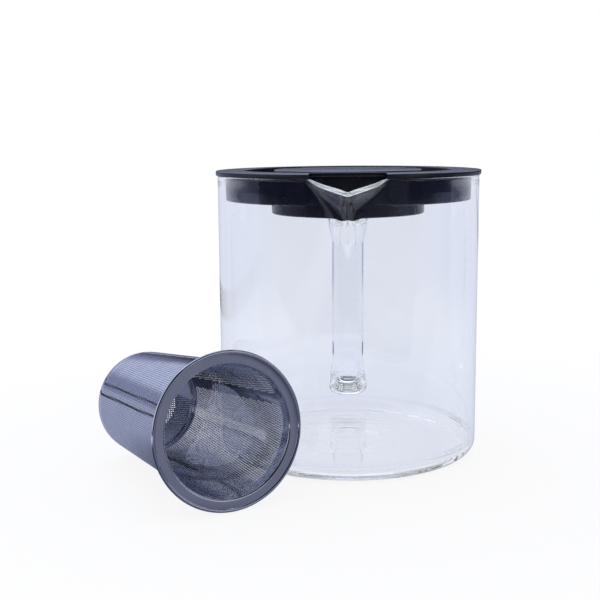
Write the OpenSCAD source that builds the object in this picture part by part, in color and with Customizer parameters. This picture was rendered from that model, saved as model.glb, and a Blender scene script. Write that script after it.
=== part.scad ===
// Fruit infuser pitcher: a glass jug with a pinched spout and a strap handle, a plug-in lid with a
// lift-out cap, and a steel basket that hangs in the lid's collar or, as here, lies beside the jug.
// Frame: origin in the middle of the jug's underside, +Z up, spout toward -Y, handle toward +Y.
// Lengths are in millimetres and angles in degrees.

/* [Jug] */
// Outer diameter of the glass body
jug_d = 125; // [121:0.5:140]
// Height of the glass rim above the floor
jug_h = 134; // [130:0.1:170]
// Thickness of the glass wall
jug_wall = 2; // [1.7:0.1:2.4]
// Thickness of the glass base
jug_base_t = 3; // [2.2:0.1:5]
// Outer radius where the wall turns into the base
jug_corner_r = 6; // [4:0.5:7]
// Radius that the flame leaves on the edges of the rim
rim_round = 0.6; // [0.3:0.1:0.7]

/* [Spout] */
// Width of the stretch of rim that is drawn out into the spout
spout_w = 34; // [28:1:36]
// Reach of the spout's tip beyond the wall
spout_reach = 11; // [6:0.5:15]
// Drop of the rim at the spout's tip
spout_dip = 5; // [2:0.5:8]
// Length of the ridge below the tip, down to where it fades into the wall
spout_ridge = 20; // [15:1:26]
// Rounding of the pinched fold
spout_fold_r = 1.2; // [0.8:0.1:3]

/* [Handle] */
// Width of the glass strap
handle_w = 18.5; // [14:0.5:24]
// Thickness of the glass strap
handle_t = 9.5; // [7:0.5:11]
// Height of the upper arm's middle line
handle_top = 109; // [95:1:118]
// Height of the lower arm's middle line
handle_low = 15; // [15:0.5:30]
// Distance from the glass wall to the grip's middle line
handle_reach = 36; // [28:1:50]
// Bend radius of the strap's middle line
handle_bend_r = 19.5; // [10:0.5:20]
// Radius of the flare where the strap melts into the wall
handle_flare_r = 3; // [1:0.5:4]

/* [Lid] */
// Overhang of the lid's flange beyond the glass
flange_overhang = 0.9; // [0:0.1:1.2]
// Thickness of the flange at the finger well
flange_t = 2.4; // [2.2:0.1:3]
// Thickness of the flange at its round edge, to which its top falls
flange_edge_t = 1.7; // [1.4:0.1:2.2]
// Thickness of the lid's other walls
lid_wall = 1.8; // [1.4:0.1:2.2]
// Depth of the skirt below the rim
skirt_drop = 11.6; // [10:0.1:16]
// Outer diameter of the finger well
well_d = 99.4; // [94:0.2:106]
// Depth of the finger well
well_depth = 6; // [4:0.5:8]
// Depth of the basket collar below the rim
collar_drop = 18.4; // [15:0.1:24]
// Thickness of the collar
collar_wall = 2.3; // [1.8:0.1:3]
// Width of the ledge that carries the basket's rim
ledge_w = 3.4; // [2:0.1:4]
// Width of the pouring notch in the flange
notch_w = 33.4; // [28:0.2:35]
// Overhang of the flange on each side of the pouring pocket
notch_lip = 1.5; // [0.8:0.1:3]
// Distance from the lid's middle to the pocket's back wall
pocket_y = 45; // [43:0.5:48]
// Overhang of the flange past the pocket's back wall
pocket_lip = 2; // [1:0.5:4]

/* [Tongues] */
// Angle of the side tongues from the spout
tongue_angle = 61; // [50:0.5:90]
// Width of a gripping tongue
tongue_w = 15; // [12:0.5:24]
// Height of a gripping tongue
tongue_h = 7.2; // [5:0.2:9]
// Width of the slit on each side of a tongue
tongue_slit = 1; // [0.6:0.1:2]
// Height of the pad on a tongue above the skirt
tongue_pad = 0.9; // [0.4:0.1:1.2]

/* [Cap] */
// Width of the seat that the cap has round the collar's bore
cap_seat_w = 1.15; // [0.8:0.05:2]
// Thickness of the cap's top
cap_t = 1.8; // [1.4:0.1:3]
// Depth of the cap's plug below its seat
plug_drop = 7; // [5:0.5:9]
// Width of the sealing ring
ring_h = 2.6; // [1.6:0.1:3]
// Depth of the groove that holds the sealing ring
groove_t = 0.8; // [0.5:0.1:1]

/* [Basket] */
// Length of the basket along its axis
basket_len = 98; // [80:1:106]
// Outer diameter of the perforated wall under the rim
basket_top_d = 57.8; // [54:0.2:58.6]
// Outer diameter of the perforated wall at the base
basket_base_d = 49; // [44:0.2:54]
// Width of the rim's flange outside the wall
rim_flange_w = 4.6; // [3.6:0.1:6]
// Thickness of the steel sheet
sheet_t = 0.5; // [0.4:0.05:0.7]
// Radius of the rolled bead round the rim
bead_r = 0.75; // [0.6:0.05:1]
// Depth of the rim's neck inside the wall
neck_h = 6; // [4:0.5:10]
// Height of the base cup
cup_h = 4; // [3:0.5:8]
// Corner radius of the base cup
cup_corner_r = 1.6; // [1.2:0.1:2.5]

/* [Lying basket] */
// Direction that the lying basket opens toward, from +X
basket_yaw = -58.7; // [-75:0.1:-50]
// Gap between the lying basket and the jug
basket_gap = 2; // [1.8:0.1:20]
// Distance of the rim ahead of the jug's middle, along the lying basket
basket_ahead = 56.5; // [50:0.5:80]

/* [Fits] */
// Radial gap between the lid's skirt and the glass
skirt_gap = 1.8; // [1.4:0.1:2.6]
// Radial gap between the basket's rim and the collar
collar_clear = 0.95; // [0.4:0.05:1.5]
// Radial gap between the cap's plug and the collar
plug_clear = 0.4; // [0.3:0.05:0.6]
// Radial gap between the sealing ring and the collar
ring_clear = 0.15; // [0.1:0.05:0.25]

/* [Hidden] */
$fn = 96;
// How far every cut runs past the face that it opens
overrun = 1;

// Jug
jug_r = jug_d / 2;
jug_in_r = jug_r - jug_wall;

// Spout: the patch of skin that replaces a window in the wall
spout_cols = 28;
spout_rows = 14;
spout_gather = 1.4;
spout_soft_share = 0.08;
patch_w_share = 1.36;
patch_h_share = 1.4;
patch_lap = 1.5;
patch_inset = 0.3;
patch_half_w = spout_w * patch_w_share / 2;
patch_angle = asin(patch_half_w / jug_r);
patch_h = spout_ridge * patch_h_share;
patch_z = jug_h - patch_h;

// Handle: its roots start inside the wall's outer face, which trims them
root_sink = 0.5;
grip_y = jug_r + handle_reach;
root_half_w = handle_w / 2 + handle_flare_r;
root_y = sqrt(jug_r * jug_r - root_half_w * root_half_w) - root_sink;
bend_y = grip_y - handle_bend_r;

// Lid
flange_r = jug_r + flange_overhang;
lid_top = jug_h + flange_t;
edge_r = flange_edge_t / 2;
edge_x = flange_r - edge_r;
edge_z = jug_h + edge_r;
skirt_r = jug_in_r - skirt_gap;
skirt_low = jug_h - skirt_drop;
well_r = well_d / 2;
fall_x = well_r + lid_wall;
fall_rise = lid_top - edge_z;
edge_turn = atan2(fall_rise, fall_x - edge_x) - acos(edge_r / norm([fall_x - edge_x, fall_rise]));
well_floor = lid_top - well_depth;
collar_low = jug_h - collar_drop;
pocket_w = notch_w + 2 * notch_lip;
slit_far_x = tongue_w / 2 + tongue_slit;
slit_deep = skirt_r - sqrt(pow(skirt_r - lid_wall, 2) - pow(slit_far_x, 2));

// Basket and what takes it
basket_top_r = basket_top_d / 2;
basket_base_r = basket_base_d / 2;
rim_r = basket_top_r + rim_flange_w;
bore_r = rim_r + collar_clear;
collar_r = bore_r + collar_wall;
ledge_r = bore_r - ledge_w;

// Cap
cap_r = bore_r + cap_seat_w;
plug_r = bore_r - plug_clear;
plug_low = well_floor - plug_drop;
groove_z = plug_low + (plug_drop - ring_h) / 2;

// The basket lies on its bead and on the corner of its base cup
bead_z = basket_len - bead_r;
rest_run = bead_z - cup_corner_r;
rest_rise = (rim_r - bead_r) - (basket_base_r - cup_corner_r);
rest_tilt = atan2(rest_rise, rest_run) - asin((cup_corner_r - bead_r) / norm([rest_run, rest_rise]));
rest_z = cup_corner_r + (basket_base_r - cup_corner_r) * cos(rest_tilt) - cup_corner_r * sin(rest_tilt);
basket_back = basket_ahead - basket_len * cos(rest_tilt);
basket_aside = jug_r + basket_gap + wall_r(basket_len - basket_ahead);

// Outer radius of the basket's wall at height z above its base
function wall_r(z) = basket_base_r + (basket_top_r - basket_base_r) * z / basket_len;

// Height of the spout's beak as a share of its reach. It falls evenly from the tip, sideways by x and
// downward, so its flanks are flat and meet in a fold. A hyperbola softens the foot of the slope.
function fold(x) = sqrt(x * x + spout_fold_r * spout_fold_r) - spout_fold_r;
function slope(x, down) = 1 - 2 * fold(x) / spout_w - down / spout_ridge;
function soft(s) = (s + sqrt(s * s + spout_soft_share * spout_soft_share)) / 2;

// A point of the spout's skin at angle a from the front and at a share up of the patch's height
function spout_point(r, a, up) =
    let (
        x = jug_r * sin(a),
        out = r + spout_reach * soft(slope(x, (1 - up) * patch_h)),
        rim_z = jug_h - patch_inset - spout_dip * soft(slope(x, 0))
    )
    [out * sin(a), -out * cos(a), patch_z + up * (rim_z - patch_z)];

// Columns gather toward the fold
function column_angle(i) =
    let (u = 2 * i / spout_cols - 1)
    patch_angle * sign(u) * pow(abs(u), spout_gather);

function skin(r) = [
    for (j = [0 : spout_rows], i = [0 : spout_cols]) spout_point(r, column_angle(i), j / spout_rows)
];

function quad(a, b, c, d) = [[a, b, c], [a, c, d]];

// A square-cornered ring in the half plane that rotate_extrude turns
module ring_section(r_in, r_out, z_low, z_high) {
    translate([r_in, z_low])
        square([r_out - r_in, z_high - z_low]);
}

// Half of an upright cup's outline, with a round lower corner
module cup_section(r, corner, z_low, z_high) {
    ring_section(0, r - corner, z_low, z_high);
    ring_section(0, r, z_low + corner, z_high);
    translate([r - corner, z_low + corner])
        circle(r = corner);
}

// A wall's section with a half-round lower edge
module skirt_section(r_out, wall, z_low, z_high) {
    ring_section(r_out - wall, r_out, z_low + wall / 2, z_high);
    translate([r_out - wall / 2, z_low + wall / 2])
        circle(d = wall);
}

// The jug's wall and base, with a rim that the flame has rounded
module jug_section() {
    difference() {
        cup_section(jug_r, jug_corner_r, 0, jug_h - rim_round);
        cup_section(jug_in_r, jug_corner_r - jug_wall, jug_base_t, jug_h);
    }
    ring_section(jug_in_r + rim_round, jug_r - rim_round, jug_h - 2 * rim_round, jug_h);
    for (r = [jug_in_r + rim_round, jug_r - rim_round])
        translate([r, jug_h - rim_round])
            circle(r = rim_round);
}

// The drawn-out skin of the spout, lapped into the wall round its edge
module spout_skin() {
    layer = (spout_rows + 1) * (spout_cols + 1);
    row = spout_cols + 1;
    last_row = spout_rows * row;
    outer_faces = [
        for (j = [0 : spout_rows - 1], i = [0 : spout_cols - 1])
            let (k = j * row + i) each quad(k, k + row, k + row + 1, k + 1)
    ];
    inner_faces = [
        for (j = [0 : spout_rows - 1], i = [0 : spout_cols - 1])
            let (k = layer + j * row + i) each quad(k, k + 1, k + row + 1, k + row)
    ];
    rim_faces = [
        for (i = [0 : spout_cols - 1])
            let (k = last_row + i) each quad(k, k + layer, k + layer + 1, k + 1)
    ];
    foot_faces = [
        for (i = [0 : spout_cols - 1]) each quad(i, i + 1, i + layer + 1, i + layer)
    ];
    side_faces = [
        for (j = [0 : spout_rows - 1])
            let (left = j * row, right = left + spout_cols)
            each concat(
                quad(left + layer, left + layer + row, left + row, left),
                quad(right, right + row, right + layer + row, right + layer)
            )
    ];
    polyhedron(
        points = concat(skin(jug_r - patch_inset), skin(jug_in_r + patch_inset)),
        faces = concat(outer_faces, inner_faces, rim_faces, foot_faces, side_faces)
    );
}

module glass_body() {
    window_w = 2 * (patch_half_w - patch_lap);
    color("aliceblue") {
        difference() {
            rotate_extrude()
                jug_section();
            translate([-window_w / 2, -jug_r - overrun, patch_z + patch_lap])
                cube([window_w, jug_r, patch_h]);
        }
        spout_skin();
    }
}

// Flat oval section of the strap
module strap_section() {
    square([handle_w - handle_t, handle_t], center = true);
    for (side = [-1, 1])
        translate([side * (handle_w - handle_t) / 2, 0])
            circle(d = handle_t);
}

// Half of an arm's profile, from its root on the wall along its length, with a concave flare
module arm_section(len) {
    square([handle_t / 2, len]);
    difference() {
        square([handle_t / 2 + handle_flare_r, handle_flare_r]);
        translate([handle_t / 2 + handle_flare_r, handle_flare_r])
            circle(r = handle_flare_r);
    }
}

// One arm from the wall to the bend, at height z: a flat bar between two half-round edges
module handle_arm(z) {
    len = bend_y - root_y;
    flat_w = handle_w - handle_t;
    translate([0, root_y, z])
        rotate([-90, 0, 0]) {
            rotate([90, 0, 90])
                linear_extrude(flat_w, center = true) {
                    arm_section(len);
                    mirror([1, 0])
                        arm_section(len);
                }
            for (side = [-1, 1])
                translate([side * flat_w / 2, 0, 0])
                    rotate([0, 0, -side * 90])
                        rotate_extrude(angle = 180)
                            arm_section(len);
        }
}

// A quarter bend of the strap in the plane of the handle, centred at height z
module handle_bend(z, start) {
    translate([0, bend_y, z])
        rotate([90, 0, 90])
            rotate([0, 0, start])
                rotate_extrude(angle = 90)
                    translate([handle_bend_r, 0])
                        rotate(90)
                            strap_section();
}

module glass_handle() {
    grip_low = handle_low + handle_bend_r;
    grip_high = handle_top - handle_bend_r;
    color("lightcyan")
        difference() {
            union() {
                handle_arm(handle_top);
                handle_bend(grip_high, 0);
                translate([0, grip_y, grip_low])
                    linear_extrude(grip_high - grip_low)
                        strap_section();
                handle_bend(grip_low, -90);
                handle_arm(handle_low);
            }
            cylinder(r = jug_r, h = jug_h);
        }
}

// Flange that falls to a full-round edge, finger well, basket collar with its ledge, and skirt
module lid_section() {
    polygon([
        [well_r, jug_h], [edge_x, jug_h],
        [edge_x, edge_z] + edge_r * [cos(edge_turn), sin(edge_turn)],
        [fall_x, lid_top], [well_r, lid_top]
    ]);
    translate([edge_x, edge_z])
        circle(r = edge_r);
    ring_section(well_r, well_r + lid_wall, well_floor - lid_wall, lid_top);
    ring_section(bore_r, well_r + lid_wall, well_floor - lid_wall, well_floor);
    ring_section(bore_r, collar_r, collar_low, well_floor);
    ring_section(ledge_r, collar_r, collar_low, collar_low + lid_wall);
    skirt_section(skirt_r, lid_wall, skirt_low, jug_h + flange_edge_t);
}

// Space in front of the pouring pocket's back wall, from height z_low up
module pocket_space(w, y, z_low, h) {
    translate([-w / 2, -flange_r - overrun, z_low])
        cube([w, flange_r + overrun - y, h]);
}

// The pocket's own walls: a straight back with a lip at its top, and two sides that meet the skirt
module pocket_walls() {
    wall_h = lid_top - skirt_low;
    back_w = pocket_w + 2 * lid_wall;
    translate([-back_w / 2, -pocket_y, skirt_low])
        cube([back_w, lid_wall, wall_h]);
    translate([-notch_w / 2, -pocket_y - pocket_lip, lid_top - lid_wall])
        cube([notch_w, pocket_lip + lid_wall, lid_wall]);
    intersection() {
        translate([0, 0, skirt_low])
            cylinder(r = skirt_r, h = wall_h);
        for (side = [-1, 1])
            translate([side * (pocket_w + lid_wall) / 2 - lid_wall / 2, -skirt_r, skirt_low])
                cube([lid_wall, skirt_r - pocket_y + lid_wall, skirt_drop]);
    }
}

// Calls its children once for each gripping tongue, which is then at the front
module at_tongues() {
    for (a = [-tongue_angle, tongue_angle, 180])
        rotate([0, 0, a])
            children();
}

module tongue_slits() {
    at_tongues()
        for (side = [-1, 1])
            translate([side * (tongue_w + tongue_slit) / 2 - tongue_slit / 2, -skirt_r - overrun, skirt_low - overrun])
                cube([tongue_slit, slit_deep + 2 * overrun, tongue_h + overrun]);
}

module tongue_pads() {
    pad_h = tongue_h - 2 * lid_wall;
    intersection() {
        translate([0, 0, skirt_low + lid_wall])
            difference() {
                cylinder(r = skirt_r + tongue_pad, h = pad_h);
                translate([0, 0, -overrun])
                    cylinder(r = skirt_r - lid_wall, h = pad_h + 2 * overrun);
            }
        at_tongues()
            translate([-tongue_w / 2 + lid_wall, -skirt_r - lid_wall, skirt_low])
                cube([tongue_w - 2 * lid_wall, skirt_r, skirt_drop]);
    }
}

module lid_moulding() {
    cut_h = lid_top - collar_low + 2 * overrun;
    color("dimgray") {
        difference() {
            rotate_extrude()
                lid_section();
            pocket_space(pocket_w, pocket_y, collar_low - overrun, jug_h - collar_low + overrun);
            pocket_space(notch_w, pocket_y, collar_low - overrun, cut_h);
            tongue_slits();
        }
        pocket_walls();
        tongue_pads();
    }
}

module lid_cap() {
    color("gray")
        rotate_extrude()
            difference() {
                union() {
                    ring_section(0, cap_r, well_floor, lid_top);
                    ring_section(0, plug_r, plug_low, well_floor);
                }
                ring_section(0, plug_r - groove_t - lid_wall, plug_low - overrun, lid_top - cap_t);
                ring_section(plug_r - groove_t, plug_r + overrun, groove_z, groove_z + ring_h);
            }
}

module cap_ring() {
    color("whitesmoke")
        rotate_extrude()
            ring_section(plug_r - groove_t, bore_r - ring_clear, groove_z, groove_z + ring_h);
}

// Puts a basket piece, made upright on its base, where the basket lies
module lying() {
    rotate([0, 0, basket_yaw])
        translate([basket_back, -basket_aside, rest_z])
            rotate([0, 90 - rest_tilt, 0])
                children();
}

// Section of the basket's tapered sheet from height z_low to z_high, moved inward by a share of sheets
module sheet_section(z_low, z_high, inward) {
    polygon([
        [wall_r(z_low) - inward - sheet_t, z_low],
        [wall_r(z_low) - inward, z_low],
        [wall_r(z_high) - inward, z_high],
        [wall_r(z_high) - inward - sheet_t, z_high]
    ]);
}

// A flat flange with a rolled bead, and a neck that lines the top of the wall
module basket_rim() {
    color("lightsteelblue")
        lying()
            rotate_extrude() {
                ring_section(basket_top_r - 2 * sheet_t, rim_r - bead_r, basket_len - sheet_t, basket_len);
                translate([rim_r - bead_r, bead_z])
                    circle(r = bead_r);
                sheet_section(basket_len - neck_h, basket_len, sheet_t);
            }
}

module basket_wall() {
    color("silver")
        lying()
            rotate_extrude()
                sheet_section(cup_h, basket_len - sheet_t, 0);
}

// A shallow pressed cup that closes the end of the wall
module basket_base() {
    color("slategray")
        lying()
            rotate_extrude() {
                intersection() {
                    difference() {
                        cup_section(basket_base_r, cup_corner_r, 0, cup_h);
                        cup_section(basket_base_r - sheet_t, cup_corner_r - sheet_t, sheet_t, cup_h);
                    }
                    ring_section(0, basket_base_r, 0, cup_corner_r);
                }
                sheet_section(cup_corner_r, cup_h, 0);
            }
}

glass_body();
glass_handle();
lid_moulding();
lid_cap();
cap_ring();
basket_rim();
basket_wall();
basket_base();
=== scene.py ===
import math
import bpy
import numpy as np
from mathutils import Matrix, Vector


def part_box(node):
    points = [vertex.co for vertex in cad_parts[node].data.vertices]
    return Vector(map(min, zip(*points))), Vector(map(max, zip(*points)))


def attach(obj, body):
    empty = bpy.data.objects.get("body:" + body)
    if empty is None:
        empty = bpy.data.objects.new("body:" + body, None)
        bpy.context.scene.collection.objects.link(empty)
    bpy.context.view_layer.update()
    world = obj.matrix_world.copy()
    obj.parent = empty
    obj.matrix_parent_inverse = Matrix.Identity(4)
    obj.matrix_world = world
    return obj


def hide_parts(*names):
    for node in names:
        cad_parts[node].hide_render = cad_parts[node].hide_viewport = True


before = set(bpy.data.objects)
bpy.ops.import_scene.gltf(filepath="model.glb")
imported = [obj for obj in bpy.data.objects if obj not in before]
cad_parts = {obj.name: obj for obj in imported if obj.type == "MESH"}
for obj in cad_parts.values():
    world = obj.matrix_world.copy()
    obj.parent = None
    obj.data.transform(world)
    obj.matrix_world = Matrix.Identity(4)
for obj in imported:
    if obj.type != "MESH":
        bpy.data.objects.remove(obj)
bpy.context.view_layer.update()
mm = 0.001
print("frame:", len(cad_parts), "nodes")


# sRGB hex to linear RGBA
def linear(hexColour):
    shares = [int(hexColour[i:i + 2], 16) / 255 for i in (1, 3, 5)]
    return [s / 12.92 if s <= 0.04045 else ((s + 0.055) / 1.055) ** 2.4 for s in shares] + [1.0]


# highest corner of a CAD node's box, in mm
def highCorner(name):
    return np.array(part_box(name)[1]) / mm


# one node with its own settings; inputs are values or other sockets, by name or number
def addNode(tree, kind, inputs, **settings):
    node = tree.nodes.new(kind)
    for name, value in settings.items():
        setattr(node, name, value)
    for name, value in inputs.items():
        if isinstance(value, bpy.types.NodeSocket):
            tree.links.new(value, node.inputs[name])
        else:
            node.inputs[name].default_value = value
    return node


# empty material and its tree
def newMaterial(name):
    material = bpy.data.materials.new(name)
    material.use_nodes = True
    material.node_tree.nodes.clear()
    return material, material.node_tree


# borosilicate glass, blown and fire-polished: clear and cool, slow waves bend what shows through it
glassLook = dict(tint="#FCFDFF", ior=1.47, roughness=0.0, waveSize=30, waveHeight=0.025,
                 deep="#CFE2E0", density=1.3, bounces=160)


def blownGlass():
    material, tree = newMaterial("borosilicate_blown")
    place = addNode(tree, "ShaderNodeTexCoord", {})
    waves = addNode(tree, "ShaderNodeTexNoise", {
        "Vector": place.outputs["Object"], "Scale": 1 / (glassLook["waveSize"] * mm),
        "Detail": 1.5, "Roughness": 0.4})
    bump = addNode(tree, "ShaderNodeBump", {
        "Height": waves.outputs["Fac"], "Strength": 1.0, "Distance": glassLook["waveHeight"] * mm})
    shader = addNode(tree, "ShaderNodeBsdfPrincipled", {
        "Base Color": linear(glassLook["tint"]), "Roughness": glassLook["roughness"], "IOR": glassLook["ior"],
        "Transmission Weight": 1.0, "Normal": bump.outputs["Normal"]})
    # long ways through the glass, along the rim and the folds, turn faintly green
    depth = addNode(tree, "ShaderNodeVolumeAbsorption", {
        "Color": linear(glassLook["deep"]), "Density": glassLook["density"]})
    addNode(tree, "ShaderNodeOutputMaterial", {"Surface": shader.outputs[0], "Volume": depth.outputs[0]})
    return material


# black polypropylene, injection moulded: satin, with a spark-eroded grain and slow sink marks;
# the grain is drawn coarser than the real one, so that it shows
plasticLook = dict(dark="#0B0D18", pale="#12141F", ior=1.49, gloss=(0.2, 0.3),
                   grain=0.35, grainHeight=0.02, sink=14, sinkHeight=0.12)


def mouldedPlastic():
    material, tree = newMaterial("polypropylene_moulded")
    place = addNode(tree, "ShaderNodeTexCoord", {})
    cloud = addNode(tree, "ShaderNodeTexNoise", {
        "Vector": place.outputs["Object"], "Scale": 1 / (plasticLook["sink"] * mm), "Detail": 3.0})
    grain = addNode(tree, "ShaderNodeTexNoise", {
        "Vector": place.outputs["Object"], "Scale": 1 / (plasticLook["grain"] * mm), "Detail": 2.0})
    tone = addNode(tree, "ShaderNodeMix", {
        0: cloud.outputs["Fac"], 6: linear(plasticLook["dark"]),
        7: linear(plasticLook["pale"])}, data_type="RGBA")
    gloss = addNode(tree, "ShaderNodeMapRange", {
        "Value": cloud.outputs["Fac"], 1: 0.3, 2: 0.7,
        3: plasticLook["gloss"][0], 4: plasticLook["gloss"][1]})
    sink = addNode(tree, "ShaderNodeBump", {
        "Height": cloud.outputs["Fac"], "Strength": 0.5, "Distance": plasticLook["sinkHeight"] * mm})
    skin = addNode(tree, "ShaderNodeBump", {
        "Height": grain.outputs["Fac"], "Strength": 0.35, "Distance": plasticLook["grainHeight"] * mm,
        "Normal": sink.outputs["Normal"]})
    shader = addNode(tree, "ShaderNodeBsdfPrincipled", {
        "Base Color": tone.outputs[2], "Roughness": gloss.outputs[0], "IOR": plasticLook["ior"],
        "Normal": skin.outputs["Normal"]})
    addNode(tree, "ShaderNodeOutputMaterial", {"Surface": shader.outputs[0]})
    return material


# silicone rubber, moulded: milky and soft, so it scatters light and has no sharp gloss
siliconeLook = dict(pale="#D9DADD", shade="#C6C8CC", ior=1.41, roughness=0.55, speck=0.8, speckHeight=0.03,
                    milk=0.2, milkDepth=2.0)


def mouldedSilicone():
    material, tree = newMaterial("silicone_moulded")
    place = addNode(tree, "ShaderNodeTexCoord", {})
    speck = addNode(tree, "ShaderNodeTexNoise", {
        "Vector": place.outputs["Object"], "Scale": 1 / (siliconeLook["speck"] * mm), "Detail": 2.0})
    tone = addNode(tree, "ShaderNodeMix", {
        0: speck.outputs["Fac"], 6: linear(siliconeLook["pale"]),
        7: linear(siliconeLook["shade"])}, data_type="RGBA")
    bump = addNode(tree, "ShaderNodeBump", {
        "Height": speck.outputs["Fac"], "Strength": 0.3, "Distance": siliconeLook["speckHeight"] * mm})
    shader = addNode(tree, "ShaderNodeBsdfPrincipled", {
        "Base Color": tone.outputs[2], "Roughness": siliconeLook["roughness"], "IOR": siliconeLook["ior"],
        "Subsurface Weight": siliconeLook["milk"], "Subsurface Radius": [siliconeLook["milkDepth"] * mm] * 3,
        "Normal": bump.outputs["Normal"]})
    addNode(tree, "ShaderNodeOutputMaterial", {"Surface": shader.outputs[0]})
    return material


# stainless steel, cold rolled and polished: mirror-like, with lap lines round the axis and a slight ripple;
# the lap lines are drawn coarser than real ones, so that they show
steelLook = dict(bright="#DCDFE6", dull="#C8CBD4", gloss=(0.04, 0.1),
                 lap=0.5, lapHeight=0.004, ripple=9, rippleHeight=0.03)


def polishedSteel():
    material, tree = newMaterial("stainless_polished")
    local = addNode(tree, "ShaderNodeAttribute", {}, attribute_name="basketPlace")
    ripple = addNode(tree, "ShaderNodeTexNoise", {
        "Vector": local.outputs["Vector"], "Scale": 1 / steelLook["ripple"], "Detail": 1.0})
    # lap lines: noise squeezed along the axis and the radius, so that it runs round the piece
    parts = addNode(tree, "ShaderNodeSeparateXYZ", {0: local.outputs["Vector"]})
    flat = addNode(tree, "ShaderNodeCombineXYZ", {0: parts.outputs[0], 1: parts.outputs[1]})
    radius = addNode(tree, "ShaderNodeVectorMath", {0: flat.outputs[0]}, operation="LENGTH")
    ringPlace = addNode(tree, "ShaderNodeCombineXYZ", {0: radius.outputs["Value"], 1: parts.outputs[2]})
    lap = addNode(tree, "ShaderNodeTexNoise", {
        "Vector": ringPlace.outputs[0], "Scale": 1 / steelLook["lap"], "Detail": 3.0})
    tone = addNode(tree, "ShaderNodeMix", {
        0: ripple.outputs["Fac"], 6: linear(steelLook["bright"]),
        7: linear(steelLook["dull"])}, data_type="RGBA")
    gloss = addNode(tree, "ShaderNodeMapRange", {
        "Value": lap.outputs["Fac"], 1: 0.3, 2: 0.7, 3: steelLook["gloss"][0], 4: steelLook["gloss"][1]})
    bend = addNode(tree, "ShaderNodeBump", {
        "Height": ripple.outputs["Fac"], "Strength": 1.0, "Distance": steelLook["rippleHeight"] * mm})
    lines = addNode(tree, "ShaderNodeBump", {
        "Height": lap.outputs["Fac"], "Strength": 0.1, "Distance": steelLook["lapHeight"] * mm,
        "Normal": bend.outputs["Normal"]})
    shader = addNode(tree, "ShaderNodeBsdfPrincipled", {
        "Base Color": tone.outputs[2], "Metallic": 1.0, "Roughness": gloss.outputs[0],
        "Normal": lines.outputs["Normal"]})
    addNode(tree, "ShaderNodeOutputMaterial", {"Surface": shader.outputs[0]})
    return material


glass, plastic, silicone, steel = blownGlass(), mouldedPlastic(), mouldedSilicone(), polishedSteel()
print("materials ready")


# closed outline whose corners are tangent arcs: each arc turns from one side to the next about its centre
def roundedOutline(corners, radii, steps=6):
    points = np.asarray(corners, float)
    back, ahead = np.roll(points, 1, 0) - points, np.roll(points, -1, 0) - points
    back /= np.linalg.norm(back, axis=1)[:, None]
    ahead /= np.linalg.norm(ahead, axis=1)[:, None]
    half = np.arccos(np.clip((back * ahead).sum(1), -1, 1)) / 2
    radii = np.broadcast_to(np.asarray(radii, float), len(points))
    middle = (back + ahead) / np.linalg.norm(back + ahead, axis=1)[:, None]
    centre = points + middle * (radii / np.sin(half))[:, None]
    start = points + back * (radii / np.tan(half))[:, None] - centre
    end = points + ahead * (radii / np.tan(half))[:, None] - centre
    turn, share = (np.pi - 2 * half)[:, None], np.linspace(0, 1, steps)[None]
    first, second = np.sin((1 - share) * turn) / np.sin(turn), np.sin(share * turn) / np.sin(turn)
    arcs = centre[:, None] + first[..., None] * start[:, None] + second[..., None] * end[:, None]
    return arcs.reshape(-1, 2)


# arc of a circle in the (r, z) plane, angles in degrees
def arc(centreR, centreZ, radius, startAngle, endAngle, count):
    a = np.radians(np.linspace(startAngle, endAngle, count))
    return np.stack([centreR + radius * np.cos(a), centreZ + radius * np.sin(a)], 1)


# (r, z) carried to angle a from the front: x = r sin a, y = -r cos a
def turned(r, z, a):
    r, z, a = np.broadcast_arrays(r, z, a)
    return np.stack([r * np.sin(a), -r * np.cos(a), z], -1)


# shell through a row of closed outlines; an open row gets a face at each end
def loftShell(rows, wraps):
    index = np.arange(rows.shape[0] * rows.shape[1]).reshape(rows.shape[:2])
    this, after = (index, np.roll(index, -1, 0)) if wraps else (index[:-1], index[1:])
    faces = [np.stack([this, np.roll(this, -1, 1), np.roll(after, -1, 1), after], -1).reshape(-1, 4)]
    if not wraps:
        faces += [index[:1, ::-1], index[-1:]]
    return rows.reshape(-1, 3), faces


# shell through closed rings whose first and last shrink to a single point
def poleShell(rows):
    count, size = rows.shape[:2]
    index = 1 + np.arange((count - 2) * size).reshape(count - 2, size)
    last = 1 + (count - 2) * size
    this, after = index[:-1], index[1:]
    quads = np.stack([this, np.roll(this, -1, 1), np.roll(after, -1, 1), after], -1).reshape(-1, 4)
    top, low = index[0], index[-1]
    fans = [np.stack([np.zeros_like(top), np.roll(top, -1), top], 1),
            np.stack([low, np.roll(low, -1), np.full_like(low, last)], 1)]
    return np.concatenate([rows[0, :1], rows[1:-1].reshape(-1, 3), rows[-1, :1]]), [quads] + fans


# signed volume of a shell: sum of p0 . (p1 x p2) over the fans of its faces
def shellVolume(points, faces):
    return sum((points[f[:, :1]] * np.cross(points[f[:, 1:-1]], points[f[:, 2:]])).sum() for f in faces) / 6


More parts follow.
